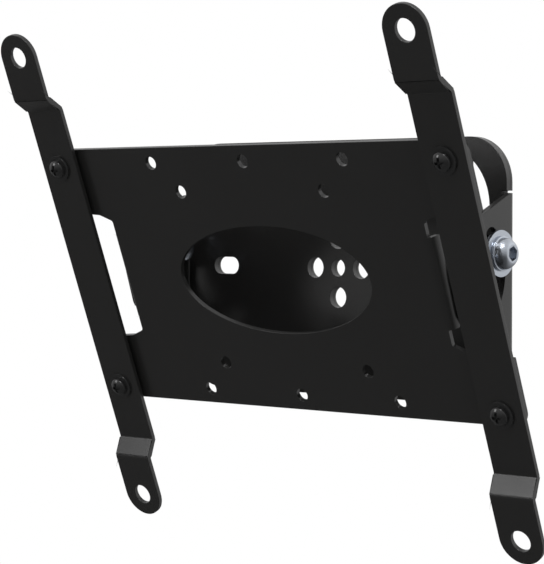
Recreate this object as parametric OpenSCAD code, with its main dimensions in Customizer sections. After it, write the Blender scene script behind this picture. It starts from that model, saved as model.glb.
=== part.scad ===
// Tilting wall mount for a flat screen.
// A wall plate and a folded yoke stay on the wall. The adapter plate tilts between the yoke's
// ears on two pivot bolts, and two clamp bolts in arc slots hold it at the chosen angle.
// Frame: the origin is the centre of the wall plate's back face, X to the right for someone who
// faces the wall, -Y out into the room and Z up. Lengths are in millimetres, angles in degrees.

/* [Wall sheets] */
// Width of the wall plate and of the yoke's web
web_w = 167.6; // [150:0.2:168]
// Height of the wall plate and of the yoke's web
web_h = 104.6; // [96:0.2:130]
// Corner radius of both wall sheets
web_corner_r = 18; // [8:0.5:20]
// Thickness of the wall plate
wall_t = 1.5; // [1:0.1:2.5]
// Thickness of the yoke's sheet
yoke_t = 2.5; // [1.5:0.1:3]

/* [Wall holes] */
// Distance from the centre hole to each outer hole of the cross
cross_pitch = 12.1; // [11:0.1:13]
// Diameter of the four outer holes of the cross
cross_hole_d = 8.6; // [5:0.1:9]
// Diameter of the centre hole
centre_hole_d = 7.2; // [5:0.1:8]
// Distance between the centres of the two side slots
side_slot_spacing = 124; // [100:1:126]
// Length of a side slot from end to end
side_slot_l = 14; // [10:0.5:20]
// Width of a side slot
side_slot_w = 7.3; // [5:0.1:9]

/* [Corner windows] */
// Radius of a window's outer arc
window_r = 24; // [20:0.5:25]
// Distance of the arc's centre from the middle of the sheet, sideways
window_centre_x = 51.7; // [48:0.1:53]
// Distance of the arc's centre from the middle of the sheet, upwards
window_centre_z = 25; // [22:0.5:27]
// Distance of the window's straight inner side from the middle of the sheet
window_side_x = 65.3; // [62:0.1:67]
// Distance of the window's straight lower side from the middle of the sheet
window_base_z = 21.5; // [16:0.5:23]
// Radius of the window's inner lower corner
window_corner_r = 4.5; // [2:0.5:4.5]

/* [Yoke ears] */
// Distance that an ear's outer face stands out past the side of the web
ear_stand_out = 2.7; // [2.6:0.1:3.4]
// Half height of an ear at its fold
ear_fold_half_h = 30.2; // [28:0.1:32]
// Inside radius of the yoke's folds
yoke_bend_r = 1; // [0.5:0.1:2]
// Distance from the pivot forward to the shoulder where an ear turns in to its nose
ear_shoulder_ahead = 3.65; // [2:0.05:5]
// Half height of an ear at that shoulder
ear_shoulder_half_h = 16.6; // [15:0.1:18]
// Rounding radius of that shoulder
ear_shoulder_r = 4; // [1:0.5:6]
// Distance from the pivot forward to the tip of an ear's nose
ear_nose_ahead = 8.6; // [7:0.05:10.5]
// Radius of an ear's nose
ear_nose_r = 8.6; // [7:0.1:9.5]
// Width of the relief slits at both ends of each fold
relief_w = 0.9; // [0.6:0.1:2]
// Distance of the inner end of a relief slit from the middle of the sheet
relief_x = 81.6; // [79:0.1:82]

/* [Tilt] */
// Tilt of the adapter plate at rest, its top away from the wall
rest_tilt = 21; // [0:0.5:26]
// Distance from the wall to the pivot axis
pivot_from_wall = 32.15; // [32:0.05:36]
// Distance from the pivot axis to the clamp bolt, the radius of the arc slot
clamp_arc_r = 20; // [19:0.1:21]
// Width of the arc slot
arc_slot_w = 7.2; // [6.4:0.1:8]
// Angle from the middle of the arc slot to the centre of its end
arc_slot_half_angle = 43; // [35:1:44]

/* [Adapter plate] */
// Distance from the arm screws' holes to the ends of the plate
plate_end_margin = 8; // [7:0.5:12]
// Distance from the outer rows of screen holes to the plate's upper and lower edges
plate_edge_margin = 6.6; // [5.5:0.1:12]
// Thickness of the adapter plate
plate_t = 2; // [1.5:0.1:2.5]
// Corner radius of the adapter plate
plate_corner_r = 6; // [2:0.5:8]
// Distance from the pivot axis forward to the plate's front face
plate_ahead = 13; // [12.5:0.1:14]
// Height of the plate's centre above the pivot axis
plate_above = 0.6; // [0:0.1:2]
// Length of the oval window
oval_w = 99.4; // [80:0.2:100]
// Height of the oval window
oval_h = 46; // [36:0.5:56]
// Spacing of the larger square of screen holes
screen_square_l = 100; // [98:0.5:101]
// Spacing of the smaller square of screen holes
screen_square_s = 75; // [72:0.5:76]
// Diameter of the screen holes in the plate
screen_hole_d = 5.5; // [4.5:0.1:6.5]

/* [Plate ears] */
// Clearance between a plate ear and the yoke ear beside it
ear_gap = 0.1; // [0.05:0.05:0.3]
// Inside radius of the plate's folds
plate_bend_r = 2; // [0.5:0.1:2.5]
// Half height of a plate ear at its fold
plate_ear_half_h = 18.6; // [17:0.1:20]
// Radius of a plate ear's round end about the clamp bolt
plate_ear_end_r = 7; // [6:0.1:7.4]
// Height of the mouth's edge at the fold, from the plate's centre line
mouth_inner_z = 24.8; // [23:0.1:25.5]
// Height of the mouth's edge at the end of the plate, from the plate's centre line
mouth_outer_z = 28.9; // [28:0.1:31]
// Distance from the start of the fold out to the mouth's inner side
mouth_past_fold = 1.5; // [0:0.1:3]
// Distance from the mouth's inner side out to its upper corner
mouth_bend_out = 6.6; // [5:0.1:10]
// Height of the mouth's edge at that corner, from the plate's centre line
mouth_bend_z = 27.4; // [26.5:0.1:28]
// Radius of the mouth's inner corners
mouth_corner_r = 1.5; // [0.5:0.1:2.5]

/* [Arms] */
// Distance between the two arms, from centre line to centre line
arm_spacing = 200; // [196:1:204]
// Width of an arm
arm_w = 19.6; // [17:0.2:20]
// Thickness of an arm
arm_t = 2; // [1.5:0.1:2.5]
// Distance between an arm's two end holes
arm_hole_spacing = 200; // [196:1:220]
// Diameter of the end holes
arm_hole_d = 8.7; // [6:0.1:9.5]
// Distance that an arm's end tabs stand ahead of its middle
arm_step = 5.65; // [3:0.05:7]
// Distance from the arm's centre to the start of a step
step_start_z = 75; // [72:0.5:77]
// Length of a step along the arm
step_l = 6.5; // [5:0.1:7.5]
// Inside radius of the arm's bends
arm_bend_r = 1; // [0.5:0.1:1.5]
// Height of the spacers between the arms and the plate
spacer_h = 1.65; // [1:0.05:3]
// Diameter of the spacers
spacer_d = 10; // [9:0.1:12]

/* [Arm screws] */
// Thread diameter of the arm screws
arm_screw_d = 4; // [3:0.1:4.4]
// Clearance of the arm screws in their holes, on the diameter
arm_screw_clearance = 0.5; // [0.2:0.1:1]
// Diameter of the screw heads
arm_head_d = 7.5; // [6:0.1:8.5]
// Height of the screw heads
arm_head_h = 2.8; // [2:0.1:3.2]
// Diameter of the washers under the heads
arm_washer_d = 11; // [9:0.1:12]
// Thickness of those washers
arm_washer_t = 1; // [0.6:0.1:1.4]
// Width of the nuts across their flats
arm_nut_af = 7; // [6:0.1:8]
// Height of the nuts
arm_nut_h = 3.2; // [2:0.1:4]
// Length of thread that shows behind a nut
arm_screw_past = 1; // [0.5:0.1:2]

/* [Clamp bolts] */
// Thread diameter of the clamp bolts
clamp_d = 6; // [5:0.1:6.2]
// Clearance of a clamp bolt in the plate ear, on the diameter
clamp_clearance = 0.3; // [0.1:0.1:0.5]
// Diameter of the flange at the foot of the head
clamp_head_d = 13.4; // [11:0.1:14]
// Height of the whole head
clamp_head_h = 5.3; // [4.5:0.1:6]
// Thickness of the flange
clamp_flange_t = 1; // [0.6:0.1:1.4]
// Width of the socket across its flats
clamp_socket_af = 5; // [4:0.1:5.5]
// Depth of the socket
clamp_socket_depth = 3; // [2:0.1:3.5]
// Diameter of the washer that spans the arc slot
clamp_washer_d = 18; // [15:0.5:18.5]
// Thickness of that washer
clamp_washer_t = 1.6; // [1:0.1:2]
// Width of the clamp nuts across their flats
clamp_nut_af = 10; // [9:0.1:10.5]
// Height of the clamp nuts
clamp_nut_h = 5; // [4:0.1:6]
// Length of thread that shows behind a clamp nut
clamp_past = 1.4; // [0.5:0.1:3]

/* [Pivot bolts] */
// Shank diameter of the pivot bolts
pivot_d = 6; // [5:0.1:6.4]
// Radial running clearance of a pivot bolt in the ears
pivot_clearance = 0.05; // [0.02:0.01:0.1]
// Diameter of a pivot bolt's head
pivot_head_d = 10.4; // [9:0.1:11]
// Height of a pivot bolt's head
pivot_head_h = 3.2; // [2.5:0.1:4]
// Diameter of the washer under that head
pivot_washer_d = 12; // [11:0.1:12.5]
// Thickness of that washer
pivot_washer_t = 1.2; // [0.8:0.1:1.6]

/* [Hidden] */

$fn = 64;
LEFT = -1;
RIGHT = 1;
UPPER = 1;
LOWER = -1;
SHEET_BLACK = [0.09, 0.09, 0.09];
SCREW_BLACK = [0.14, 0.14, 0.14];
ZINC = [0.72, 0.76, 0.82];

// Cutters reach this far past the faces that they cut
over = 1;
// The oval is drawn with this many sides
oval_sides = 144;

// Places across the mount
yoke_ear_out_x = web_w / 2 + ear_stand_out;
yoke_ear_in_x = yoke_ear_out_x - yoke_t;
plate_ear_out_x = yoke_ear_in_x - ear_gap;
plate_ear_in_x = plate_ear_out_x - plate_t;
washer_in_x = yoke_ear_out_x + ear_gap;

// Places away from the wall
yoke_back_y = -wall_t;
yoke_front_y = yoke_back_y - yoke_t;
yoke_fold_y = yoke_front_y - yoke_bend_r;

// Centre of a yoke ear's nose from the pivot: forward is negative
nose_centre_p = ear_nose_r - ear_nose_ahead;

// Places in the head's own frame, from the pivot: forward is negative
plate_front_p = -plate_ahead;
plate_back_p = plate_front_p + plate_t;
arm_back_p = plate_front_p - spacer_h;
arm_front_p = arm_back_p - arm_t;
arm_screw_x = arm_spacing / 2;
arm_screw_z = screen_square_l / 2;

// The adapter plate's size: it holds the screen holes and the arm screws with a margin around
plate_w = arm_spacing + 2 * plate_end_margin;
plate_h = screen_square_l + 2 * plate_edge_margin;

// A hexagon's corner radius from its width across flats
function hex_r(across_flats) = across_flats / 2 / cos(30);

// Direction of an outline from one point to the next, as a unit vector
function heading(from, to) = (to - from) / norm(to - from);

// Positive where an outline turns left at a corner
function turn(a, b, c) = cross(b - a, c - b);

// Distance from a corner to the point where its rounding starts
function setback(a, b, c, r) =
    let (half = acos(max(-1, min(1, heading(b, a) * heading(b, c)))) / 2)
    r / tan(half);

// Centre of the circle that rounds a corner
function round_centre(a, b, c, r) =
    let (to_a = heading(b, a), to_c = heading(b, c), mid = to_a + to_c)
    b + mid / norm(mid) * norm([r, setback(a, b, c, r)]);

// What a rounding takes off a corner, or fills into it: the corner beyond the arc
module beyond_arc(a, b, c, r) {
    s = setback(a, b, c, r);
    difference() {
        polygon([b, b + heading(b, a) * s, b + heading(b, c) * s]);
        translate(round_centre(a, b, c, r)) circle(r = r);
    }
}

// A polygon whose corners are rounded by true arcs; its points run anticlockwise
module rounded_outline(points, radii) {
    count = len(points);
    function before(i) = points[(i + count - 1) % count];
    function after(i) = points[(i + 1) % count];
    function outward(i) = turn(before(i), points[i], after(i)) > 0;
    difference() {
        polygon(points);
        for (i = [0:count - 1]) {
            if (radii[i] > 0 && outward(i)) {
                beyond_arc(before(i), points[i], after(i), radii[i]);
            }
        }
    }
    for (i = [0:count - 1]) {
        if (radii[i] > 0 && !outward(i)) {
            beyond_arc(before(i), points[i], after(i), radii[i]);
        }
    }
}

// A rectangle about the origin with one radius at all its corners
module rounded_rectangle(size, r) {
    half = size / 2;
    rounded_outline([
        [-half[0], -half[1]],
        [half[0], -half[1]],
        [half[0], half[1]],
        [-half[0], half[1]]
    ], [r, r, r, r]);
}

// A level slot about the origin, from end to end
module slot(length, width) {
    square([length - width, width], center = true);
    for (side = [LEFT, RIGHT]) {
        translate([side * (length - width) / 2, 0]) circle(d = width);
    }
}

// Copies to the left and right, and above and below
module four_ways() {
    for (side = [0, 1]) {
        for (level = [0, 1]) {
            mirror([side, 0]) mirror([0, level]) children();
        }
    }
}

// Stands an outline drawn in X and Z up as a sheet whose front face is at front_y
module upright_sheet(front_y, thickness) {
    translate([0, front_y + thickness, 0]) rotate([90, 0, 0]) linear_extrude(thickness) children();
}

// Stands an outline drawn in Y and Z up as a sheet between from_x and to_x
module side_sheet(from_x, to_x) {
    translate([from_x, 0, 0])
        rotate([90, 0, 90]) linear_extrude(to_x - from_x) children();
}

// Puts a piece on the left or the right: it is drawn for the right
module on_side(side) {
    mirror([side == LEFT ? 1 : 0, 0, 0]) children();
}

// Puts a piece that is drawn about the pivot where the tilting head carries it
module in_head() {
    translate([0, -pivot_from_wall, 0]) rotate([rest_tilt, 0, 0]) children();
}

// Turns a piece that is drawn along Z to lie along X, its top outwards
module along_x() {
    rotate([0, 90, 0]) children();
}

// Turns a piece that is drawn along Z to face the room
module facing_room() {
    rotate([90, 0, 0]) children();
}

// One corner window: a circle's part beyond a straight side and above a straight base
module corner_window() {
    intersection() {
        translate([window_centre_x, window_centre_z]) circle(r = window_r, $fn = 96);
        rounded_outline([
            [window_side_x, window_base_z],
            [window_centre_x + window_r + over, window_base_z],
            [window_centre_x + window_r + over, window_centre_z + window_r + over],
            [window_side_x, window_centre_z + window_r + over]
        ], [window_corner_r, 0, 0, 0]);
    }
}

// The two slits that free an ear's fold from the sheet above and below it
module relief_slits() {
    slit_l = web_w / 2 + over - relief_x;
    four_ways() {
        translate([relief_x + slit_l / 2 + relief_w / 4, ear_fold_half_h + relief_w / 2])
            slot(slit_l + relief_w / 2, relief_w);
    }
}

// Every opening that both wall sheets share
module wall_openings() {
    circle(d = centre_hole_d);
    for (turn_by = [0:90:270]) {
        rotate(turn_by) translate([cross_pitch, 0]) circle(d = cross_hole_d);
    }
    for (side = [LEFT, RIGHT]) {
        translate([side * side_slot_spacing / 2, 0]) slot(side_slot_l, side_slot_w);
    }
    four_ways() corner_window();
    relief_slits();
}

// The flat outline of both wall sheets, with its openings
module wall_sheet_outline() {
    difference() {
        rounded_rectangle([web_w, web_h], web_corner_r);
        wall_openings();
    }
}

// The thin sheet that lies on the wall
module wall_plate() {
    color(SHEET_BLACK) upright_sheet(-wall_t, wall_t) wall_sheet_outline();
}

// Arc slot about the pivot, its middle straight back to the wall
module arc_slot() {
    out_r = clamp_arc_r + arc_slot_w / 2;
    in_r = clamp_arc_r - arc_slot_w / 2;
    reach = out_r * 2;
    intersection() {
        difference() {
            circle(r = out_r, $fn = 96);
            circle(r = in_r, $fn = 96);
        }
        polygon([
            [0, 0],
            reach * [cos(arc_slot_half_angle), -sin(arc_slot_half_angle)],
            [reach, 0],
            reach * [cos(arc_slot_half_angle), sin(arc_slot_half_angle)]
        ]);
    }
    for (end = [LOWER, UPPER]) {
        rotate(end * arc_slot_half_angle) translate([clamp_arc_r, 0]) circle(d = arc_slot_w);
    }
}

// Point where a line from a shoulder touches the nose's circle, on the side of positive height
function nose_touch(shoulder) =
    let (
        away = shoulder - [nose_centre_p, 0],
        reach = norm(away),
        bearing = atan2(away[1], away[0]) + acos(ear_nose_r / reach)
    )
    [nose_centre_p, 0] + ear_nose_r * [cos(bearing), sin(bearing)];

// Side view of a yoke ear about the pivot, from its fold to its nose
module yoke_ear_outline() {
    fold_p = pivot_from_wall + yoke_fold_y;
    shoulder = [-ear_shoulder_ahead, ear_shoulder_half_h];
    touch = nose_touch(shoulder);
    difference() {
        union() {
            rounded_outline([
                [fold_p, -ear_fold_half_h],
                [fold_p, ear_fold_half_h],
                shoulder,
                touch,
                [touch[0], -touch[1]],
                [shoulder[0], -shoulder[1]]
            ], [0, 0, ear_shoulder_r, 0, 0, ear_shoulder_r]);
            translate([nose_centre_p, 0]) circle(r = ear_nose_r);
        }
        circle(r = pivot_d / 2 + pivot_clearance);
        arc_slot();
    }
}

// Top view of a fold: a quarter ring about its centre that leads back and outwards
module fold_ring(inner_r, thickness) {
    outer_r = inner_r + thickness;
    intersection() {
        difference() {
            circle(r = outer_r);
            circle(r = inner_r);
        }
        square([outer_r, outer_r]);
    }
}

// One yoke ear with the fold that joins it to the web
module yoke_ear() {
    fold_x = yoke_ear_in_x - yoke_bend_r;
    translate([fold_x, yoke_fold_y, -ear_fold_half_h])
        linear_extrude(ear_fold_half_h * 2) fold_ring(yoke_bend_r, yoke_t);
    translate([0, -pivot_from_wall, 0])
        side_sheet(yoke_ear_in_x, yoke_ear_out_x) yoke_ear_outline();
}

// The web between the slits stops where the folds begin
module yoke_web_outline() {
    fold_x = yoke_ear_in_x - yoke_bend_r;
    difference() {
        wall_sheet_outline();
        for (side = [LEFT, RIGHT]) {
            translate([side * (fold_x + web_w / 2), 0])
                square([web_w, ear_fold_half_h * 2 + relief_w], center = true);
        }
    }
}

// The folded sheet that carries the tilting head: a web with an ear at each side
module tilt_yoke() {
    color(SHEET_BLACK) {
        upright_sheet(yoke_front_y, yoke_t) yoke_web_outline();
        for (side = [LEFT, RIGHT]) {
            on_side(side) yoke_ear();
        }
    }
}

// The mouth at one end of the plate, open to the side, where the ear was folded out. The flat
// sheet stops where the fold starts, and a little further out above and below the ear.
module mouth_outline() {
    fold_x = plate_ear_in_x - plate_bend_r;
    inner_x = fold_x + mouth_past_fold;
    bend_x = inner_x + mouth_bend_out;
    end_x = plate_w / 2 + over;
    rounded_outline([
        [inner_x, -mouth_inner_z],
        [bend_x, -mouth_bend_z],
        [end_x, -mouth_outer_z],
        [end_x, mouth_outer_z],
        [bend_x, mouth_bend_z],
        [inner_x, mouth_inner_z]
    ], [mouth_corner_r, mouth_corner_r, 0, 0, mouth_corner_r, mouth_corner_r]);
    translate([fold_x, -plate_ear_half_h]) square([mouth_bend_out, plate_ear_half_h * 2]);
}

// The oval window, by the ellipse's formula
module oval_outline() {
    polygon([
        for (i = [0:oval_sides - 1])
            let (a = i * 360 / oval_sides)
            [oval_w / 2 * cos(a), oval_h / 2 * sin(a)]
    ]);
}

// Holes at the corners of a square of screen holes
module square_of_holes(spacing, d) {
    four_ways() translate([spacing / 2, spacing / 2]) circle(d = d);
}

// Front view of the flat part of the adapter plate, about its centre
module plate_outline() {
    difference() {
        rounded_rectangle([plate_w, plate_h], plate_corner_r);
        for (side = [0, 1]) {
            mirror([side, 0]) mouth_outline();
        }
        oval_outline();
        square_of_holes(screen_square_l, screen_hole_d);
        square_of_holes(screen_square_s, screen_hole_d);
        for (level = [LOWER, UPPER]) {
            translate([0, level * screen_square_l / 2]) circle(d = screen_hole_d);
        }
        four_ways() translate([arm_screw_x, arm_screw_z])
            circle(d = arm_screw_d + arm_screw_clearance);
    }
}

// Side view of a plate ear about the pivot: it narrows to a round end about the clamp bolt
module plate_ear_outline() {
    fold_p = plate_back_p + plate_bend_r;
    corner = [fold_p, plate_above + plate_ear_half_h];
    low_corner = [fold_p, plate_above - plate_ear_half_h];
    top = round_touch(corner, UPPER);
    bottom = round_touch(low_corner, LOWER);
    difference() {
        union() {
            polygon([low_corner, bottom, top, corner]);
            translate([clamp_arc_r, 0]) circle(r = plate_ear_end_r);
        }
        circle(r = pivot_d / 2 + pivot_clearance);
        translate([clamp_arc_r, 0]) circle(d = clamp_d + clamp_clearance);
    }
}

// Point where a line from a corner touches the round end, above or below
function round_touch(corner, level) =
    let (
        away = corner - [clamp_arc_r, 0],
        bearing = atan2(away[1], away[0]) - level * acos(plate_ear_end_r / norm(away))
    )
    [clamp_arc_r, 0] + plate_ear_end_r * [cos(bearing), sin(bearing)];

// One plate ear with its fold, in the head's frame
module plate_ear() {
    fold_x = plate_ear_in_x - plate_bend_r;
    fold_p = plate_back_p + plate_bend_r;
    translate([fold_x, fold_p, plate_above - plate_ear_half_h])
        linear_extrude(plate_ear_half_h * 2)
            mirror([0, 1]) fold_ring(plate_bend_r, plate_t);
    side_sheet(plate_ear_in_x, plate_ear_out_x) plate_ear_outline();
}

// The plate that carries the screen or the arms, with an ear folded back at each end
module adapter_plate() {
    color(SHEET_BLACK) in_head() {
        translate([0, 0, plate_above]) upright_sheet(plate_front_p, plate_t) plate_outline();
        for (side = [LEFT, RIGHT]) {
            on_side(side) plate_ear();
        }
    }
}

// Side view of an arm about its centre: flat in the middle, stepped forward at both ends.
// Forward is negative; the middle's front face is at zero.
module arm_profile() {
    end_z = arm_hole_spacing / 2 + arm_w;
    slope = atan2(arm_step, step_l);
    lag = arm_t * tan(slope / 2);
    front_start = step_start_z;
    front_end = step_start_z + step_l;
    inner_r = arm_bend_r;
    outer_r = arm_bend_r + arm_t;
    rounded_outline([
        [-arm_step, -end_z],
        [arm_t - arm_step, -end_z],
        [arm_t - arm_step, -front_end - lag],
        [arm_t, -front_start - lag],
        [arm_t, front_start + lag],
        [arm_t - arm_step, front_end + lag],
        [arm_t - arm_step, end_z],
        [-arm_step, end_z],
        [-arm_step, front_end],
        [0, front_start],
        [0, -front_start],
        [-arm_step, -front_end]
    ], [0, 0, inner_r, outer_r, outer_r, inner_r, 0, 0, outer_r, inner_r, inner_r, outer_r]);
}

// Front view of an arm about its centre, with round ends
module arm_outline() {
    difference() {
        rotate(90) slot(arm_hole_spacing + arm_w, arm_w);
        for (level = [LOWER, UPPER]) {
            translate([0, level * arm_hole_spacing / 2]) circle(d = arm_hole_d);
            translate([0, level * arm_screw_z]) circle(d = arm_screw_d + arm_screw_clearance);
        }
    }
}

// One of the two upright arms, which widen the plate's hole pattern
module arm(side) {
    depth = arm_step + arm_t + 2 * over;
    color(SHEET_BLACK) in_head()
        translate([side * arm_screw_x, arm_front_p, plate_above]) intersection() {
            side_sheet(-arm_w / 2 - over, arm_w / 2 + over) arm_profile();
            upright_sheet(-arm_step - over, depth) arm_outline();
        }
}

// Carries a piece to one of the four arm screws; z = 0 there is at the given place ahead
module at_arm_screw(side, level, place) {
    in_head()
        translate([side * arm_screw_x, place, plate_above + level * arm_screw_z])
            facing_room() children();
}

// A flat ring that stands on z = 0
module ring(outer_d, inner_d, height) {
    difference() {
        cylinder(d = outer_d, h = height);
        translate([0, 0, -over]) cylinder(d = inner_d, h = height + 2 * over);
    }
}

// A hexagon nut that stands on z = 0, with the bore of its thread
module hex_nut(across_flats, bore_d, height) {
    difference() {
        intersection() {
            cylinder(r = hex_r(across_flats), h = height, $fn = 6);
            nut_round(across_flats, height);
        }
        translate([0, 0, -over]) cylinder(d = bore_d, h = height + 2 * over);
    }
}

// The turned body that takes a nut's corners off at both ends
module nut_round(across_flats, height) {
    corner = hex_r(across_flats);
    flat_r = across_flats / 2 - 0.02 * across_flats;
    drop = (corner - flat_r) * tan(30);
    rotate_extrude($fn = 64) polygon([
        [0, 0],
        [flat_r, 0],
        [corner + over, drop + over * tan(30)],
        [corner + over, height - drop - over * tan(30)],
        [flat_r, height],
        [0, height]
    ]);
}

// Spacer between an arm and the plate, around its screw
module arm_spacer(side, level) {
    color(SCREW_BLACK) at_arm_screw(side, level, plate_front_p)
        ring(spacer_d, arm_screw_d + arm_screw_clearance, spacer_h);
}

// Washer under an arm screw's head
module arm_washer(side, level) {
    color(SCREW_BLACK) at_arm_screw(side, level, arm_front_p)
        ring(arm_washer_d, arm_screw_d + arm_screw_clearance, arm_washer_t);
}

// A pan head on z = 0: a short straight side, then a low dome
module pan_head(d, h) {
    side_h = h * 0.45;
    dome_h = h - side_h;
    dome_r = (d * d / 4 + dome_h * dome_h) / (2 * dome_h);
    rotate_extrude() intersection() {
        translate([0, h - dome_r]) circle(r = dome_r, $fn = 96);
        square([d / 2, h]);
    }
}

// A cross recess that goes down from z = 0
module cross_recess(width, depth) {
    blade = width / 4;
    for (turn_by = [0, 90]) {
        rotate(turn_by) translate([-width / 2, -blade / 2, -depth])
            cube([width, blade, depth + over]);
    }
}

// Screw that holds an arm, from its cross-recessed head to its tip behind the nut
module arm_screw(side, level) {
    grip = arm_washer_t + arm_t + spacer_h + plate_t + arm_nut_h + arm_screw_past;
    color(SCREW_BLACK) at_arm_screw(side, level, arm_front_p - arm_washer_t) {
        difference() {
            pan_head(arm_head_d, arm_head_h);
            translate([0, 0, arm_head_h]) cross_recess(arm_head_d * 0.55, arm_head_h * 0.5);
        }
        translate([0, 0, -grip]) cylinder(d = arm_screw_d, h = grip);
    }
}

// Nut behind the plate on an arm screw
module arm_nut(side, level) {
    color(SCREW_BLACK) at_arm_screw(side, level, plate_back_p + arm_nut_h)
        hex_nut(arm_nut_af, arm_screw_d, arm_nut_h);
}

// Carries a piece to a clamp bolt's axis; z = 0 there is at the given distance from the middle
module at_clamp(side, place) {
    in_head() on_side(side) translate([place, clamp_arc_r, 0]) along_x() children();
}

// Carries a piece to the pivot axis in the same way
module at_pivot(side, place) {
    in_head() on_side(side) translate([place, 0, 0]) along_x() children();
}

// Head of a clamp bolt on z = 0: a thin flange, then a dome with a flat top
module flanged_dome(d, h, flange_t) {
    top_r = d * 0.24;
    foot_r = d * 0.455;
    rise = h - flange_t;
    dome_r = (rise * rise + (foot_r - top_r) * (foot_r - top_r)) / (2 * rise);
    cylinder(r = d / 2, h = flange_t);
    translate([0, 0, flange_t]) rotate_extrude() union() {
        square([top_r, rise]);
        intersection() {
            translate([top_r + (foot_r - top_r) - dome_r, 0]) circle(r = dome_r);
            square([foot_r, rise]);
        }
    }
}

// Bolt that clamps the two ears of one side, its socket head outside
module clamp_bolt(side) {
    grip = clamp_washer_t + yoke_t + 2 * ear_gap + plate_t + clamp_nut_h + clamp_past;
    color(ZINC) at_clamp(side, washer_in_x + clamp_washer_t) {
        difference() {
            flanged_dome(clamp_head_d, clamp_head_h, clamp_flange_t);
            translate([0, 0, clamp_head_h - clamp_socket_depth])
                cylinder(r = hex_r(clamp_socket_af), h = clamp_socket_depth + over, $fn = 6);
        }
        translate([0, 0, -grip]) cylinder(d = clamp_d, h = grip);
    }
}

// Washer that spans the arc slot under a clamp bolt's head
module clamp_washer(side) {
    color(ZINC) at_clamp(side, washer_in_x)
        ring(clamp_washer_d, clamp_d + clamp_clearance, clamp_washer_t);
}

// Nut on the inner face of a plate ear
module clamp_nut(side) {
    color(ZINC) at_clamp(side, plate_ear_in_x - clamp_nut_h)
        hex_nut(clamp_nut_af, clamp_d, clamp_nut_h);
}

// Bolt on the tilt axis, through both ears of one side
module pivot_bolt(side) {
    grip = pivot_washer_t + yoke_t + 2 * ear_gap + plate_t + clamp_nut_h + clamp_past;
    color(ZINC) at_pivot(side, washer_in_x + pivot_washer_t) {
        difference() {
            pan_head(pivot_head_d, pivot_head_h);
            translate([0, 0, pivot_head_h])
                cross_recess(pivot_head_d * 0.5, pivot_head_h * 0.5);
        }
        translate([0, 0, -grip]) cylinder(d = pivot_d, h = grip);
    }
}

// Washer under a pivot bolt's head
module pivot_washer(side) {
    color(ZINC) at_pivot(side, washer_in_x)
        ring(pivot_washer_d, pivot_d + clamp_clearance, pivot_washer_t);
}

// Nut of a pivot bolt, on the inner face of a plate ear
module pivot_nut(side) {
    color(ZINC) at_pivot(side, plate_ear_in_x - clamp_nut_h)
        hex_nut(clamp_nut_af, pivot_d, clamp_nut_h);
}

wall_plate();
tilt_yoke();
adapter_plate();
arm(LEFT);  // left_arm
arm(RIGHT);  // right_arm
arm_spacer(LEFT, UPPER);  // left_upper_spacer
arm_spacer(LEFT, LOWER);  // left_lower_spacer
arm_spacer(RIGHT, UPPER);  // right_upper_spacer
arm_spacer(RIGHT, LOWER);  // right_lower_spacer
arm_washer(LEFT, UPPER);  // left_upper_washer
arm_washer(LEFT, LOWER);  // left_lower_washer
arm_washer(RIGHT, UPPER);  // right_upper_washer
arm_washer(RIGHT, LOWER);  // right_lower_washer
arm_screw(LEFT, UPPER);  // left_upper_screw
arm_screw(LEFT, LOWER);  // left_lower_screw
arm_screw(RIGHT, UPPER);  // right_upper_screw
arm_screw(RIGHT, LOWER);  // right_lower_screw
arm_nut(LEFT, UPPER);  // left_upper_nut
arm_nut(LEFT, LOWER);  // left_lower_nut
arm_nut(RIGHT, UPPER);  // right_upper_nut
arm_nut(RIGHT, LOWER);  // right_lower_nut
clamp_bolt(LEFT);  // left_clamp_bolt
clamp_bolt(RIGHT);  // right_clamp_bolt
clamp_washer(LEFT);  // left_clamp_washer
clamp_washer(RIGHT);  // right_clamp_washer
clamp_nut(LEFT);  // left_clamp_nut
clamp_nut(RIGHT);  // right_clamp_nut
pivot_bolt(LEFT);  // left_pivot_bolt
pivot_bolt(RIGHT);  // right_pivot_bolt
pivot_washer(LEFT);  // left_pivot_washer
pivot_washer(RIGHT);  // right_pivot_washer
pivot_nut(LEFT);  // left_pivot_nut
pivot_nut(RIGHT);  // right_pivot_nut
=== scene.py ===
"""Looks of the tilting wall mount: rolled edges, clamp bolts, finishes, light and camera."""

import logging
import math
from dataclasses import dataclass, field
from enum import Enum

import bpy
from mathutils import Matrix, Vector


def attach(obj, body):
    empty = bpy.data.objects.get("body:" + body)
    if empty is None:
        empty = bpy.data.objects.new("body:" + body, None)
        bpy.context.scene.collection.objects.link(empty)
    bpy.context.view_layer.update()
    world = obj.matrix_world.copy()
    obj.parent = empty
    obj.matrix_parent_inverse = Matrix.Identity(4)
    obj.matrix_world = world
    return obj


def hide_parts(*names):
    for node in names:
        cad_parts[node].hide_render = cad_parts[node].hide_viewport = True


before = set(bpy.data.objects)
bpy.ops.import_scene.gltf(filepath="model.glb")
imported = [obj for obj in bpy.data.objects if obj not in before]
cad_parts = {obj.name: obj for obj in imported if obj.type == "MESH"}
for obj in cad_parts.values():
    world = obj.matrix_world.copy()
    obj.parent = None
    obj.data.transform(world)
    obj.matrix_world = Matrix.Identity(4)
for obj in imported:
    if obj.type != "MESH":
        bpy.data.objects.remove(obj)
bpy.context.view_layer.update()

logging.basicConfig(level=logging.INFO, format="%(levelname)s %(message)s")
log = logging.getLogger("wall_mount")

MM = 0.001
WHITE = (1.0, 1.0, 1.0, 1.0)


class Side(Enum):
    """The two sides of the mount, for someone who faces it."""

    LEFT = -1
    RIGHT = 1

    @property
    def word(self) -> str:
        """Returns the word that starts the names of the pieces on this side."""
        return self.name.lower()


class Level(Enum):
    """The two heights at which an arm is screwed to the plate."""

    UPPER = 1
    LOWER = -1

    @property
    def word(self) -> str:
        """Returns the word that the names of the pieces at this height hold."""
        return self.name.lower()


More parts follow.
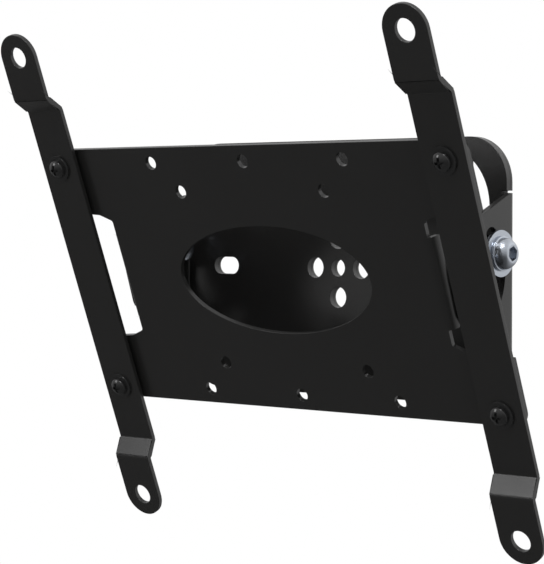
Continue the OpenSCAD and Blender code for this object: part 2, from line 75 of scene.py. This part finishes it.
class Body(Enum):
    """The bodies of the frame: what stays on the wall and what tilts."""

    WALL = "wall_side"
    HEAD = "tilt_head"


class Slot(Enum):
    """The material slots of the record."""

    SHEET = "black_sheet"
    BLACK_FIXING = "black_fixing"
    ZINC_FIXING = "zinc_fixing"


@dataclass(frozen=True)
class NodeBoard:
    """A shorthand for building a tree of shader nodes.

    Attributes:
        tree: The node tree that the nodes go into.
    """

    tree: bpy.types.NodeTree

    def add(
        self, kind: str, inputs: dict[str | int, object] | None = None, **values: object
    ) -> bpy.types.Node:
        """Adds a node and sets its inputs and properties.

        Args:
            kind: The node's type, such as "ShaderNodeTexNoise".
            inputs: What goes into its inputs, by name or by place.
            **values: Properties of the node, by name.

        Returns:
            The new node.
        """
        made = self.tree.nodes.new(kind)
        for name, value in values.items():
            setattr(made, name, value)
        self.fill(made, inputs or {})
        return made

    def fill(self, node: bpy.types.Node, inputs: dict[str | int, object]) -> None:
        """Sets or links the inputs of a node.

        Args:
            node: The node.
            inputs: A plain value or another node's output for each input, by name or by place.
        """
        for label, value in inputs.items():
            if isinstance(value, bpy.types.NodeSocket):
                self.tree.links.new(value, node.inputs[label])
            else:
                node.inputs[label].default_value = value

    def math(self, operation: str, *values: object) -> bpy.types.NodeSocket:
        """Adds a math node.

        Args:
            operation: The operation's name, such as "MULTIPLY".
            *values: A number or an output for each input, in order.

        Returns:
            The node's output.
        """
        made = self.add("ShaderNodeMath", dict(enumerate(values)), operation=operation)
        return made.outputs[0]

    def ramp(
        self, value: bpy.types.NodeSocket, span: tuple[float, float], result: tuple[float, float]
    ) -> bpy.types.NodeSocket:
        """Maps one range to another with soft ends.

        Args:
            value: The output to map.
            span: Where the range starts and ends.
            result: What comes out at its start and at its end.

        Returns:
            The mapped output.
        """
        labels = ("From Min", "From Max", "To Min", "To Max")
        inputs = {"Value": value, **dict(zip(labels, (*span, *result)))}
        made = self.add("ShaderNodeMapRange", inputs, interpolation_type="SMOOTHSTEP")
        return made.outputs["Result"]


@dataclass(frozen=True)
class NoiseLayer:
    """One noise of the relief group.

    Attributes:
        scale_input: The group's input that sets its scale.
        scale: The scale that this input starts with.
        detail: Its detail.
        output: The group's output that it feeds.
    """

    scale_input: str
    scale: float
    detail: float
    output: str


def fine_relief_group() -> bpy.types.NodeTree:
    """Builds the group that every finish uses: a fine relief and a slow drift of the gloss.

    Returns:
        The node group, with a Height and a Drift output.
    """
    name = "fine_relief"
    if name in bpy.data.node_groups:
        return bpy.data.node_groups[name]
    noises = (
        NoiseLayer(scale_input="Grain per metre", scale=900.0, detail=2.0, output="Height"),
        NoiseLayer(scale_input="Drift per metre", scale=30.0, detail=3.0, output="Drift"),
    )
    group = bpy.data.node_groups.new(name, "ShaderNodeTree")
    for noise in noises:
        socket = group.interface.new_socket(
            noise.scale_input, in_out="INPUT", socket_type="NodeSocketFloat"
        )
        socket.default_value = noise.scale
    for noise in noises:
        group.interface.new_socket(noise.output, in_out="OUTPUT", socket_type="NodeSocketFloat")
    board = NodeBoard(group)
    inside = board.add("NodeGroupInput")
    out = board.add("NodeGroupOutput")
    place = board.add("ShaderNodeTexCoord").outputs["Object"]
    for noise in noises:
        scale = inside.outputs[noise.scale_input]
        inputs = {"Vector": place, "Scale": scale, "Detail": noise.detail}
        texture = board.add("ShaderNodeTexNoise", inputs)
        board.fill(out, {noise.output: texture.outputs["Fac"]})
    return group


@dataclass(frozen=True)
class Finish:
    """A finish of the mount's pieces.

    Attributes:
        name: The material's name.
        slot: The record's slot that it belongs to; not used.
        colour: Its base colour, linear.
        metallic: One for bare or plated metal, zero for a coat.
        roughness: Its mean roughness.
        drift: How far the roughness drifts to either side.
        grain_scale: Grains of its relief per metre.
        relief: Depth of the relief in metres.
        specular: The coat's specular level.
        drift_span: Where the drift mask starts and ends to move the roughness.
    """

    name: str
    slot: Slot
    colour: tuple[float, float, float]
    metallic: float
    roughness: float
    drift: float
    grain_scale: float
    relief: float
    specular: float = 0.5
    drift_span: tuple[float, float] = (0.35, 0.65)

    def material(self) -> bpy.types.Material:
        """Makes the material, or returns it if it is there.

        Returns:
            The material.
        """
        if self.name in bpy.data.materials:
            return bpy.data.materials[self.name]
        made = bpy.data.materials.new(self.name)
        made.use_nodes = True
        board = NodeBoard(made.node_tree)
        relief = board.add("ShaderNodeGroup", node_tree=fine_relief_group())
        board.fill(relief, {"Grain per metre": self.grain_scale})
        gloss_span = (self.roughness - self.drift, self.roughness + self.drift)
        rough = board.ramp(relief.outputs["Drift"], self.drift_span, gloss_span)
        bump = board.add(
            "ShaderNodeBump", {"Distance": self.relief, "Height": relief.outputs["Height"]}
        )
        inputs = {
            "Base Color": (*self.colour, 1.0),
            "Metallic": self.metallic,
            "Specular IOR Level": self.specular,
            "Roughness": rough,
            "Normal": bump.outputs["Normal"],
        }
        board.fill(made.node_tree.nodes["Principled BSDF"], inputs)
        return made


POWDER_COAT = Finish(
    name="powder_coat",
    slot=Slot.SHEET,
    colour=(0.0115, 0.0113, 0.011),
    metallic=0.0,
    roughness=0.24,
    drift=0.03,
    grain_scale=900.0,
    relief=0.000012,
)
BLACK_OXIDE = Finish(
    name="black_oxide",
    slot=Slot.BLACK_FIXING,
    colour=(0.012, 0.012, 0.012),
    metallic=0.0,
    roughness=0.15,
    drift=0.03,
    grain_scale=1500.0,
    relief=0.00001,
)
ZINC_PLATE = Finish(
    name="zinc_plate",
    slot=Slot.ZINC_FIXING,
    colour=(0.44, 0.47, 0.52),
    metallic=1.0,
    roughness=0.2,
    drift=0.06,
    grain_scale=1500.0,
    relief=0.00006,
)


@dataclass(frozen=True)
class EdgeRound:
    """How a piece's sharp edges are rolled.

    Attributes:
        width: Width of the rounding in metres.
        segments: Strips across it.
        from_angle: Edges sharper than this many degrees are rolled.
        smooth_angle: Edges blunter than this many degrees are shaded smooth.
        normal_weight: How far large faces draw the shading's normals to their own.
    """

    width: float
    segments: int = 3
    from_angle: float = 32.0
    smooth_angle: float = 30.0
    normal_weight: int = 100


@dataclass
class NodeDresser:
    """Dresses a node of the frame with a copy that has rolled edges and a finish.

    Attributes:
        body: The body that the pieces ride on.
        finish: Their finish.
        edge: How their edges are rolled.
        merge_within: Corners closer than this, in metres, are one.
        flat_within: Faces that differ by fewer degrees than this are one.
    """

    body: Body
    finish: Finish
    edge: EdgeRound
    merge_within: float = 0.000002
    flat_within: float = 0.3

    def dress(self, node: str, ending: str) -> None:
        """Makes the piece that stands for a node.

        Args:
            node: The node's name.
            ending: What follows the node's name in the new piece's name.
        """
        piece_name = f"{node}_{ending}"
        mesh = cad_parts[node].data.copy()
        mesh.name = piece_name
        piece = bpy.data.objects.new(piece_name, mesh)
        bpy.context.scene.collection.objects.link(piece)
        self._merge(piece)
        self.finish_piece(piece, node)

    def finish_piece(self, piece: bpy.types.Object, node: str) -> None:
        """Rolls a piece's edges, gives it its finish and lets it stand for a node.

        Args:
            piece: The piece, placed in the mount.
            node: The node that it stands for.
        """
        self._roll_edges(piece)
        piece.data.materials.clear()
        piece.data.materials.append(self.finish.material())
        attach(piece, self.body.value)
        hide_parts(node)
        log.info("%s: %d faces", piece.name, len(piece.data.polygons))

    def _merge(self, piece: bpy.types.Object) -> None:
        """Joins the copy's loose triangles and turns flat areas into whole faces.

        Args:
            piece: The copy of a node.
        """
        select_only(piece)
        bpy.ops.object.mode_set(mode="EDIT")
        bpy.ops.mesh.select_all(action="SELECT")
        bpy.ops.mesh.remove_doubles(threshold=self.merge_within)
        bpy.ops.mesh.customdata_custom_splitnormals_clear()
        bpy.ops.mesh.dissolve_limited(angle_limit=math.radians(self.flat_within))
        bpy.ops.mesh.vert_connect_concave()
        bpy.ops.object.mode_set(mode="OBJECT")

    def _roll_edges(self, piece: bpy.types.Object) -> None:
        """Rolls the sharp edges and shades the rest smooth.

        Args:
            piece: The piece whose edges are rolled.
        """
        bevel = piece.modifiers.new("rolled_edges", "BEVEL")
        bevel.width = self.edge.width
        bevel.segments = self.edge.segments
        bevel.limit_method = "ANGLE"
        bevel.angle_limit = math.radians(self.edge.from_angle)
        bevel.use_clamp_overlap = False
        bevel.loop_slide = False
        select_only(piece)
        bpy.ops.object.modifier_apply(modifier=bevel.name)
        bpy.ops.object.shade_smooth_by_angle(angle=math.radians(self.edge.smooth_angle))
        even = piece.modifiers.new("even_normals", "WEIGHTED_NORMAL")
        even.keep_sharp = True
        even.weight = self.edge.normal_weight
        bpy.ops.object.modifier_apply(modifier=even.name)


def select_only(thing: bpy.types.Object) -> None:
    """Selects one object alone and makes it active.

    Args:
        thing: The object.
    """
    bpy.ops.object.select_all(action="DESELECT")
    thing.select_set(True)
    bpy.context.view_layer.objects.active = thing


@dataclass(frozen=True)
class ClampBolt:
    """A clamp bolt: a flange, a full dome with a hexagon socket and a shank, turned in one piece.

    Lengths are in metres. The bolt is made along Z with its flange on zero, then laid along X.

    Attributes:
        side: The side of the mount.
        flange_radius: Radius of the flange.
        flange_thick: Thickness of the flange.
        foot_radius: Radius of the dome's foot.
        top_radius: Radius of its flat top.
        rise: Height of the dome above the flange.
        dome_steps: Rings that make the dome.
        socket_sides: Sides of the socket.
        socket_radius: Radius of the socket over its corners.
        socket_depth: Depth of the socket.
        shank_radius: Radius of the shank.
        grip: Length of the shank.
        seat: Distance of the flange's foot from the middle of the mount.
        axis_out: Distance of the bolt's axis from the wall.
        axis_up: Height of the bolt's axis.
        lean: Tilt of the head at rest, in degrees.
        sides: Sides of the turned body.
    """

    side: Side
    flange_radius: float = 6.7 * MM
    flange_thick: float = 1.0 * MM
    foot_radius: float = 6.1 * MM
    top_radius: float = 3.6 * MM
    rise: float = 4.3 * MM
    dome_steps: int = 9
    socket_sides: int = 6
    socket_radius: float = 2.887 * MM
    socket_depth: float = 3.0 * MM
    shank_radius: float = 3.0 * MM
    grip: float = 12.7 * MM
    seat: float = 88.2 * MM
    axis_out: float = 13.478 * MM
    axis_up: float = 7.167 * MM
    lean: float = 21.0
    sides: int = 64

    def build(self, name: str) -> bpy.types.Object:
        """Turns the bolt, cuts its socket and lays it in its place.

        Args:
            name: The piece's name.

        Returns:
            The piece.
        """
        bpy.ops.object.select_all(action="DESELECT")
        bpy.ops.mesh.primitive_cylinder_add(
            vertices=self.sides,
            radius=self.flange_radius,
            depth=self.flange_thick,
            location=(0, 0, self.flange_thick / 2),
        )
        bolt = bpy.context.active_object
        bolt.name = name
        bolt.data.name = name
        bpy.ops.object.transform_apply(location=True, rotation=False, scale=False)
        self._raise_dome(bolt)
        self._draw_shank(bolt)
        self._cut_socket(bolt)
        self._lay(bolt)
        return bolt

    def _pick_end(self, bolt: bpy.types.Object, top: bool) -> None:
        """Opens the bolt for editing with only its top or bottom face selected.

        Args:
            bolt: The bolt, still upright.
            top: Whether the top face is selected, and not the bottom one.
        """
        faces = bolt.data.polygons
        end = (max if top else min)(faces, key=lambda face: face.center.z)
        for part in (bolt.data.vertices, bolt.data.edges, faces):
            for each in part:
                each.select = False
        end.select = True
        select_only(bolt)
        bpy.ops.object.mode_set(mode="EDIT")
        bpy.ops.mesh.select_mode(type="FACE")

    def _raise_dome(self, bolt: bpy.types.Object) -> None:
        """Raises the dome from the flange in rings that follow one arc, upright at the foot.

        Args:
            bolt: The bolt, so far a flange.
        """
        run = self.foot_radius - self.top_radius
        arc = (self.rise**2 + run**2) / (2 * run)
        centre = self.foot_radius - arc
        sweep = math.asin(self.rise / arc)
        self._pick_end(bolt, top=True)
        bpy.ops.mesh.inset(thickness=self.flange_radius - self.foot_radius)
        height, radius = 0.0, self.foot_radius
        for step in range(1, self.dome_steps + 1):
            angle = sweep * step / self.dome_steps
            next_height, next_radius = arc * math.sin(angle), centre + arc * math.cos(angle)
            bpy.ops.mesh.extrude_region_move(
                TRANSFORM_OT_translate={"value": (0, 0, next_height - height)}
            )
            shrink = next_radius / radius
            bpy.ops.transform.resize(value=(shrink, shrink, 1.0))
            height, radius = next_height, next_radius
        bpy.ops.object.mode_set(mode="OBJECT")

    def _draw_shank(self, bolt: bpy.types.Object) -> None:
        """Draws the shank out of the flange's foot.

        Args:
            bolt: The bolt, with its dome.
        """
        self._pick_end(bolt, top=False)
        bpy.ops.mesh.inset(thickness=self.flange_radius - self.shank_radius)
        bpy.ops.mesh.extrude_region_move(TRANSFORM_OT_translate={"value": (0, 0, -self.grip)})
        bpy.ops.object.mode_set(mode="OBJECT")

    def _cut_socket(self, bolt: bpy.types.Object) -> None:
        """Cuts the hexagon socket into the dome's top.

        Args:
            bolt: The bolt, with its dome and shank.
        """
        top = self.flange_thick + self.rise
        bpy.ops.object.select_all(action="DESELECT")
        bpy.ops.mesh.primitive_cylinder_add(
            vertices=self.socket_sides,
            radius=self.socket_radius,
            depth=2 * self.socket_depth,
            location=(0, 0, top),
        )
        key = bpy.context.active_object
        cut = bolt.modifiers.new("socket", "BOOLEAN")
        cut.operation = "DIFFERENCE"
        cut.object = key
        select_only(bolt)
        bpy.ops.object.modifier_apply(modifier=cut.name)
        select_only(key)
        bpy.ops.object.delete()

    def _lay(self, bolt: bpy.types.Object) -> None:
        """Lays the bolt along X in the ear, its head outwards.

        Args:
            bolt: The bolt, finished but upright.
        """
        out = self.side.value
        turn = Matrix.Rotation(math.radians(self.lean), 4, "X") @ Matrix.Rotation(
            math.radians(90.0) * out, 4, "Y"
        )
        place = Vector((out * self.seat, -self.axis_out, self.axis_up))
        bolt.matrix_world = Matrix.Translation(place) @ turn
        select_only(bolt)
        bpy.ops.object.transform_apply(location=True, rotation=True, scale=True)


@dataclass
class WallSide:
    """The two sheets that stay on the wall.

    Attributes:
        edge: How their edges are rolled.
    """

    edge: EdgeRound = EdgeRound(0.15 * MM)

    def build(self) -> None:
        """Dresses the wall plate and the yoke."""
        dresser = NodeDresser(Body.WALL, POWDER_COAT, self.edge)
        for node in ("wall_plate", "tilt_yoke"):
            dresser.dress(node, "sheet")


@dataclass
class TiltHead:
    """The adapter plate, its arms and all that fastens them.

    Attributes:
        plate_edge: How the plate's edges are rolled.
        arm_edge: How the arms' edges are rolled.
        arm_fixing_edge: How the edges of the arms' fixings are rolled.
        ear_fixing_edge: How the edges of the ears' fixings are rolled.
    """

    plate_edge: EdgeRound = EdgeRound(0.12 * MM)
    arm_edge: EdgeRound = EdgeRound(0.25 * MM)
    arm_fixing_edge: EdgeRound = EdgeRound(0.15 * MM, segments=2)
    ear_fixing_edge: EdgeRound = EdgeRound(0.2 * MM, segments=2)

    def build(self) -> None:
        """Dresses every piece that tilts."""
        NodeDresser(Body.HEAD, POWDER_COAT, self.plate_edge).dress("adapter_plate", "sheet")
        arms = NodeDresser(Body.HEAD, POWDER_COAT, self.arm_edge)
        for side in Side:
            arms.dress(f"{side.word}_arm", "strip")
        self._build_arm_fixings()
        self._build_ear_fixings()

    def _build_arm_fixings(self) -> None:
        """Dresses the spacers, washers, screws and nuts of the arms."""
        fixings = NodeDresser(Body.HEAD, BLACK_OXIDE, self.arm_fixing_edge)
        for side in Side:
            for level in Level:
                for kind in ("spacer", "washer", "screw", "nut"):
                    fixings.dress(f"{side.word}_{level.word}_{kind}", "dressed")

    def _build_ear_fixings(self) -> None:
        """Dresses the clamp and pivot hardware of the ears and makes new clamp bolts."""
        fixings = NodeDresser(Body.HEAD, ZINC_PLATE, self.ear_fixing_edge)
        for side in Side:
            for place in ("clamp", "pivot"):
                for kind in ("washer", "nut"):
                    fixings.dress(f"{side.word}_{place}_{kind}", "dressed")
            fixings.dress(f"{side.word}_pivot_bolt", "dressed")
            bolt = ClampBolt(side).build(f"{side.word}_clamp_bolt_turned")
            fixings.finish_piece(bolt, f"{side.word}_clamp_bolt")


@dataclass(frozen=True)
class SoftBox:
    """A square soft lamp that faces the mount.

    Attributes:
        name: The lamp's name.
        place: Its place in metres.
        size: The side of its square face.
        watts: Its power.
    """

    name: str
    place: tuple[float, float, float]
    size: float
    watts: float

    def hang(self) -> None:
        """Adds the lamp to the scene."""
        lamp = bpy.data.lights.new(self.name, "AREA")
        lamp.shape = "SQUARE"
        lamp.size = self.size
        lamp.energy = self.watts
        box = bpy.data.objects.new(self.name, lamp)
        place = Vector(self.place)
        box.location = place
        box.rotation_mode = "QUATERNION"
        box.rotation_quaternion = (-place).to_track_quat("-Z", "Y")
        box.visible_camera = False
        bpy.context.scene.collection.objects.link(box)


@dataclass
class Studio:
    """A pale floor, a white surround and soft light.

    Attributes:
        floor_drop: Height of the floor under the mount's origin, in metres.
        floor_width: Width of the floor.
        floor_colour: Its colour near the mount.
        floor_roughness: Its roughness.
        fade_span: Distances at which it starts to turn white and is white.
        height_span: Heights between which the surround brightens, on a sphere of radius one.
        height_strength: Its strength at both.
        behind: The direction in which it brightens once more.
        behind_span: How far towards it this starts and ends.
        behind_strength: What it adds at both.
        boxes: The lamps.
    """

    floor_drop: float = 0.42
    floor_width: float = 60.0
    floor_colour: tuple[float, float, float, float] = (0.9, 0.9, 0.9, 1.0)
    floor_roughness: float = 0.9
    fade_span: tuple[float, float] = (0.7, 1.6)
    height_span: tuple[float, float] = (-0.5, 0.6)
    height_strength: tuple[float, float] = (0.1, 0.8)
    behind: tuple[float, float, float] = (0.66, 0.75, 0.0)
    behind_span: tuple[float, float] = (0.3, 0.98)
    behind_strength: tuple[float, float] = (0.0, 0.55)
    boxes: tuple[SoftBox, ...] = (
        SoftBox("front_left_box", place=(-1.1, -1.4, 0.5), size=0.5, watts=4.0),
        SoftBox("overhead_box", place=(0.55, -0.75, 1.45), size=0.45, watts=12.0),
    )

    def build(self) -> None:
        """Makes the floor, the surround and the lamps."""
        self._build_floor()
        self._build_surround()
        for box in self.boxes:
            box.hang()
        bpy.context.scene.view_settings.view_transform = "Standard"

    def _build_floor(self) -> None:
        """Lays the floor, with soft shadows near the mount and white to the camera far from it."""
        bpy.ops.object.select_all(action="DESELECT")
        bpy.ops.mesh.primitive_plane_add(size=self.floor_width, location=(0, 0, -self.floor_drop))
        floor = bpy.context.active_object
        floor.name = "studio_floor"
        floor.visible_glossy = False
        paint = bpy.data.materials.new("studio_floor_white")
        paint.use_nodes = True
        board = NodeBoard(paint.node_tree)
        nodes = paint.node_tree.nodes
        shader = nodes["Principled BSDF"]
        inputs = {
            "Base Color": self.floor_colour,
            "Roughness": self.floor_roughness,
            "Specular IOR Level": 0.0,
        }
        board.fill(shader, inputs)
        glow = board.add("ShaderNodeEmission", {"Strength": 1.0})
        place = board.add("ShaderNodeTexCoord").outputs["Object"]
        length = board.add("ShaderNodeVectorMath", {0: place}, operation="LENGTH")
        far = board.ramp(length.outputs["Value"], self.fade_span, (0.0, 1.0))
        camera_ray = board.add("ShaderNodeLightPath").outputs["Is Camera Ray"]
        share = board.math("MULTIPLY", far, camera_ray)
        inputs = {"Fac": share, 1: shader.outputs["BSDF"], 2: glow.outputs["Emission"]}
        mix = board.add("ShaderNodeMixShader", inputs)
        board.fill(nodes["Material Output"], {"Surface": mix.outputs["Shader"]})
        floor.data.materials.append(paint)

    def _build_surround(self) -> None:
        """Makes the surround: white to the camera, a soft studio with a dark front to the rest."""
        world = bpy.data.worlds.new("studio_surround")
        world.use_nodes = True
        bpy.context.scene.world = world
        world.node_tree.nodes.clear()
        board = NodeBoard(world.node_tree)
        toward = board.add("ShaderNodeTexCoord").outputs["Generated"]
        parts = board.add("ShaderNodeSeparateXYZ", {"Vector": toward})
        height = board.ramp(parts.outputs["Z"], self.height_span, self.height_strength)
        along = board.add(
            "ShaderNodeVectorMath", {0: toward, 1: self.behind}, operation="DOT_PRODUCT"
        )
        behind = board.ramp(along.outputs["Value"], self.behind_span, self.behind_strength)
        soft = board.math("ADD", height, behind)
        camera_ray = board.add("ShaderNodeLightPath").outputs["Is Camera Ray"]
        pieces = board.add("ShaderNodeBackground", {"Color": WHITE, "Strength": soft})
        white = board.add("ShaderNodeBackground", {"Color": WHITE, "Strength": 1.0})
        sides = {1: pieces.outputs["Background"], 2: white.outputs["Background"]}
        mix = board.add("ShaderNodeMixShader", {"Fac": camera_ray, **sides})
        board.add("ShaderNodeOutputWorld", {"Surface": mix.outputs["Shader"]})


@dataclass
class PhotoCamera:
    """The camera of the photograph, worked out from the screen holes of the plate and the arms.

    Attributes:
        lens: Focal length in millimetres.
        sensor: Width of the sensor in millimetres.
        clip: The nearest and the farthest distance that it shows, in metres.
        place: Where it stands, in metres.
        right: The direction of the picture's right side.
        up: The direction of the picture's upper side.
    """

    lens: float = 133.93
    sensor: float = 36.0
    clip: tuple[float, float] = (0.01, 200.0)
    place: Vector = field(default_factory=lambda: Vector((0.54788, -0.66788, 0.02322)))
    right: Vector = field(default_factory=lambda: Vector((0.7509, 0.6604, 0.0)))
    up: Vector = field(default_factory=lambda: Vector((-0.0223, 0.0253, 0.9994)))

    def build(self) -> None:
        """Sets the camera up as the scene's own."""
        optics = bpy.data.cameras.new("photo_camera")
        optics.lens = self.lens
        optics.sensor_width = self.sensor
        optics.sensor_fit = "AUTO"
        optics.clip_start, optics.clip_end = self.clip
        camera = bpy.data.objects.new("photo_camera", optics)
        bpy.context.scene.collection.objects.link(camera)
        right = self.right.normalized()
        up = (self.up - right * self.up.dot(right)).normalized()
        turn = Matrix((right, up, right.cross(up))).transposed()
        camera.matrix_world = Matrix.Translation(self.place) @ turn.to_4x4()
        bpy.context.scene.camera = camera


def main() -> None:
    """Builds the camera, the studio and the mount."""
    PhotoCamera().build()
    Studio().build()
    WallSide().build()
    TiltHead().build()


if __name__ == "__main__":
    main()
